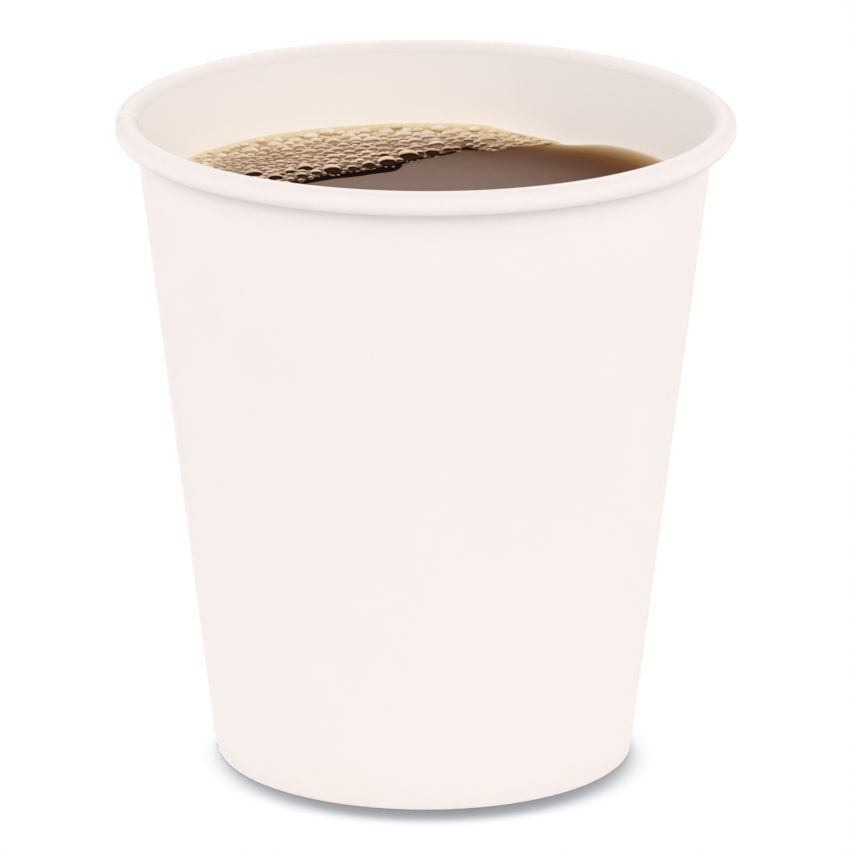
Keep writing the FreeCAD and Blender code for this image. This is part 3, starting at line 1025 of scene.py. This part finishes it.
def froth_finish():
    material, tree, surface, _ = new_material("wet_froth")
    place = add(tree, "TexCoord")
    shade, cream, brow, painted_highlight = (add(tree, "Attribute", attribute_name=name).outputs["Fac"]
                                for name in ("shade", "cream", "brow", "painted_highlight"))
    fine = add(tree, "TexNoise", {"Vector": place.outputs["Object"], "Scale": NOISE_SCALE, "Detail": 3.0})
    cells = add(tree, "TexVoronoi", {"Vector": place.outputs["Object"], "Scale": CELL_SCALE})
    uneven = sums(tree, "MULTIPLY_ADD", fine.outputs["Fac"], 0.3, -0.15)
    border = sums(tree, "ADD", brow, uneven)
    # the painted highlight of the arch over the painted shade of the film
    arch = between(tree, border, *ARCH_BORDER, soft=True)
    crest = add(tree, "MapRange", {"Value": border, "From Min": 0.0, "From Max": 0.4,
                                   "To Min": 0.8, "To Max": 1.0}).outputs["Result"]
    painted_arch = sums(tree, "MULTIPLY", crest, painted_highlight)
    above = sums(tree, "SUBTRACT", painted_arch, shade)
    value = sums(tree, "MULTIPLY_ADD", above, arch, shade)
    value = sums(tree, "MULTIPLY_ADD", sums(tree, "MULTIPLY", uneven, 0.7), value, value, clamp=True)
    tan = ramp(tree, value, [
        (0.0, tint(29, 16, 11)), (0.2, tint(68, 40, 27)), (0.4, tint(132, 96, 74)),
        (0.62, tint(192, 158, 130)), (0.85, tint(230, 204, 174)), (1.0, tint(250, 238, 218)),
    ])
    pale = ramp(tree, value, [
        (0.0, tint(120, 80, 40)), (0.4, tint(190, 150, 98)), (0.55, tint(216, 184, 134)),
        (0.7, tint(236, 214, 178)), (1.0, tint(251, 241, 226)),
    ])
    colour = blend(tree, cream, tan, pale)
    relief = add(tree, "Bump", {"Height": cells.outputs["Distance"], "Strength": 0.2,
                                "Distance": 0.05 * MM})
    rough = sums(tree, "MULTIPLY_ADD", shade, 0.3, 0.4, clamp=True)
    wet = sums(tree, "MULTIPLY", shade, 0.25)
    fill(tree, surface, {"Base Color": colour, "Roughness": rough, "Specular IOR Level": 0.0,
                         "Coat Weight": wet, "Coat Roughness": 0.25, "Coat IOR": 1.33,
                         "Normal": relief.outputs["Normal"]})
    return material


wet_froth = froth_finish()
froth = finish_mesh(make_froth(), "froth_bubbles", "froth", [wet_froth], crease=75.0)
froth.visible_glossy = False

# %% [markdown]
# ## Floor, light and camera
#
# The floor is a large pale plane. The camera, gloss and glass see it as plain white, darkened where
# the cup stands close to it, and for all other light it is an ordinary white surface. The cup's real
# shadow is very short and lies on its near side only. A lamp could cast it, but it would shade the cup
# as well. So the floor measures how much of the space near it the cup takes up, looking upward and
# towards the back, and a ramp turns that into the shadow's grey.

# %% Make the floor
FLOOR_SIZE = 3.0
SHADOW_REACH = 12 * MM
SHADOW_LEAN = (-0.07, 0.67, 0.74)
SHADOW_SAMPLES = 40


def seen_rays(tree):
    """1 for what the camera, gloss and glass see, 0 for the rays that light a surface."""
    ray = add(tree, "LightPath")
    seen = sums(tree, "ADD", ray.outputs["Is Camera Ray"], ray.outputs["Is Glossy Ray"])
    return sums(tree, "ADD", seen, ray.outputs["Is Transmission Ray"], clamp=True)


def floor_finish():
    material, tree, surface, output = new_material("plain_floor")
    fill(tree, surface, {"Base Color": (0.86, 0.86, 0.86, 1.0), "Roughness": 0.9})
    leaning = add(tree, "Normal")
    leaning.outputs["Normal"].default_value = SHADOW_LEAN
    nearby = add(tree, "AmbientOcclusion", {"Distance": SHADOW_REACH, "Normal": leaning.outputs["Normal"]},
                 samples=SHADOW_SAMPLES)
    shadow = ramp(tree, nearby.outputs["AO"], [
        (0.0, tint(104, 106, 112)), (0.33, tint(156, 158, 163)), (0.4, tint(168, 169, 174)),
        (0.46, tint(187, 188, 193)), (0.515, tint(220, 221, 224)), (0.56, tint(240, 240, 242)),
        (0.62, tint(252, 252, 252)), (0.67, (1.0, 1.0, 1.0, 1.0)),
    ])
    white = add(tree, "Emission", {"Color": shadow, "Strength": 1.0})
    lit, shown = surface.outputs["BSDF"], white.outputs["Emission"]
    mixed = add(tree, "MixShader", {0: seen_rays(tree), 1: lit, 2: shown})
    fill(tree, output, {"Surface": mixed.outputs["Shader"]})
    return material


def make_floor():
    mesh = bmesh.new()
    bmesh.ops.create_grid(mesh, x_segments=2, y_segments=2, size=FLOOR_SIZE / 2)
    data = to_data(mesh, "floor")
    data.materials.append(floor_finish())
    to_object(data, "floor")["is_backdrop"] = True


make_floor()
print("the floor is", FLOOR_SIZE, "m wide")

# %% [markdown]
# The light is that of a studio with a ring of soft boxes all round, from 15 to 45 degrees above the
# horizon. A ring lights the inside of the cup nearly as well as the outside, and leaves surfaces that
# face straight up a little darker. It could be made of many lamps. Here the world itself carries it,
# which is smoother, and two weak lamps in front give the wall a trace of shape. The camera, gloss
# and glass see plain white instead of the ring. The levels are chosen so that a colour on the wall
# renders about as written.

# %% Light the scene
RING_LEVEL = 2.64
RING_STOPS = [(0.14, 0.0), (0.34, 1.0), (0.63, 1.0), (0.81, 0.0)]
LAMP_LEVEL = 0.045
LAMP_DISTANCE = 1.2
LAMP_SIZE = 0.9
LAMP_HEIGHT = 16.0


def light_world():
    """The ring of soft light, and plain white for what the camera, gloss and glass see."""
    world = bpy.data.worlds.new("soft_world")
    bpy.context.scene.world = world
    world.use_nodes = True
    tree = world.node_tree
    tree.nodes.clear()
    way = add(tree, "TexCoord")
    height = add(tree, "SeparateXYZ", {0: way.outputs["Generated"]})
    stops = [(place, (share, share, share, 1.0)) for place, share in RING_STOPS]
    ring = ramp(tree, height.outputs["Z"], stops)
    level = sums(tree, "MULTIPLY", ring, RING_LEVEL)
    spare = sums(tree, "SUBTRACT", 1.0, level)
    strength = sums(tree, "MULTIPLY_ADD", seen_rays(tree), spare, level)
    sky = add(tree, "Background", {"Strength": strength})
    add(tree, "OutputWorld", {"Surface": sky.outputs["Background"]})


def soft_lamp(name, azimuth, level):
    """A round lamp that lights what faces it to that level, 1 being as a colour is written."""
    turn, rise = math.radians(azimuth), math.radians(LAMP_HEIGHT)
    way = Vector((math.sin(turn) * math.cos(rise), -math.cos(turn) * math.cos(rise), math.sin(rise)))
    data = bpy.data.lights.new(name, "AREA")
    data.shape = "DISK"
    data.size = LAMP_SIZE
    data.energy = level * (math.pi * LAMP_DISTANCE) ** 2
    lamp = to_object(data, name)
    lamp.location = way * LAMP_DISTANCE + Vector((0, 0, HEIGHT / 2))
    lamp.rotation_mode = "QUATERNION"
    lamp.rotation_quaternion = (-way).to_track_quat("-Z", "Y")


light_world()
soft_lamp("right_lamp", 50.0, LAMP_LEVEL)
soft_lamp("left_lamp", -60.0, 0.6 * LAMP_LEVEL)
bpy.context.scene.view_settings.view_transform = "Standard"
print("lit the scene with a ring of level", RING_LEVEL, "and two lamps")

# %% [markdown]
# The camera stands where the photograph was taken from: a long way off, a little above the rim, with
# a long lens. The picture is turned a fraction of a degree.

# %% Place the camera
CAMERA_RISE = 16.603
CAMERA_DISTANCE = 1.35
CAMERA_LENS = 391.7
CAMERA_ROLL = 0.139
CAMERA_AIM = Vector((0.0, 0.0, 0.049))


def make_camera():
    data = bpy.data.cameras.new("camera")
    data.lens = CAMERA_LENS
    data.sensor_width = 36.0
    data.clip_start = 0.05
    data.clip_end = 10.0
    camera = to_object(data, "camera")
    rise = math.radians(CAMERA_RISE)
    back = Vector((0.0, -math.cos(rise), math.sin(rise)))
    camera.location = CAMERA_AIM + back * CAMERA_DISTANCE
    camera.rotation_mode = "QUATERNION"
    roll = Matrix.Rotation(math.radians(CAMERA_ROLL), 3, "Z").to_quaternion()
    camera.rotation_quaternion = (-back).to_track_quat("-Z", "Y") @ roll
    bpy.context.scene.camera = camera


make_camera()
print("the camera stands", CAMERA_DISTANCE, "m away and", CAMERA_RISE, "degrees up")

# %% [markdown]
# Last, the two boxes are printed, so that the dressed cup can be compared with the model that it
# stands for.

# %% Print the two boxes
new_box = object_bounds()
for name, box in (("model", cad_box), ("dressed", new_box)):
    print(name, [round(value / MM, 3) for corner in box for value in corner])
